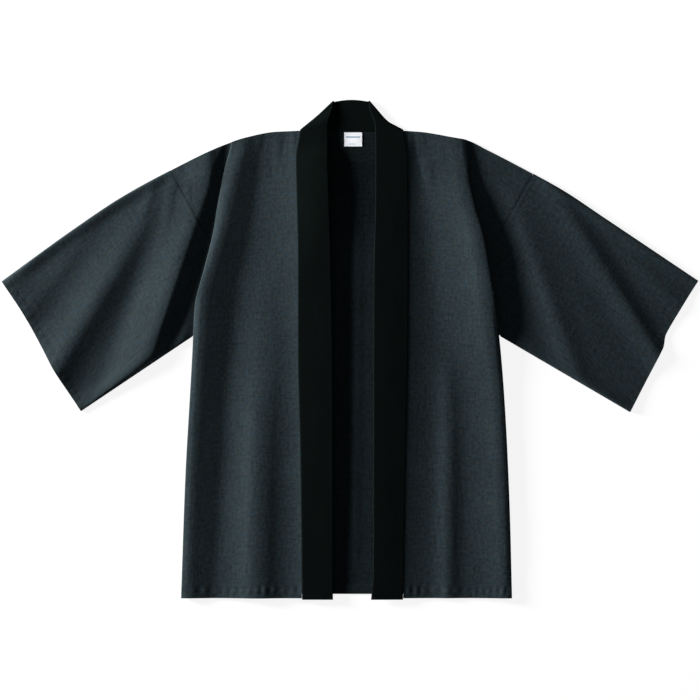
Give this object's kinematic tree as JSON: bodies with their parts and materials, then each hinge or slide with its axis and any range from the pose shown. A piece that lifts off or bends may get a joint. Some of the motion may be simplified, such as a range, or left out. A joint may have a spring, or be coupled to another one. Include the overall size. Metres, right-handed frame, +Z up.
{
  "type": "happi coat laid flat",
  "caption": "Charcoal cotton happi coat with a black collar band, laid flat with its front up and its wide sleeves angled down.",
  "frame": {"origin": "centre of the coat's bounding box on the surface it lies on", "axes": "+Z up off the surface, through the front; +Y from the hem to the neck; +X towards the wearer's left sleeve, which lies on the right seen from above"},
  "size_m": [1.2535, 0.8989, 0.0166],
  "materials": {
    "charcoal_cotton": "matte",
    "black_collar_cloth": "matte",
    "white_label": "satin"
  },
  "bodies": {
    "root": {"back": "charcoal_cotton", "front_right": "charcoal_cotton", "front_left": "charcoal_cotton", "sleeve_right": "charcoal_cotton", "sleeve_left": "charcoal_cotton", "collar": "black_collar_cloth", "label": "white_label"}
  },
  "joints": []
}
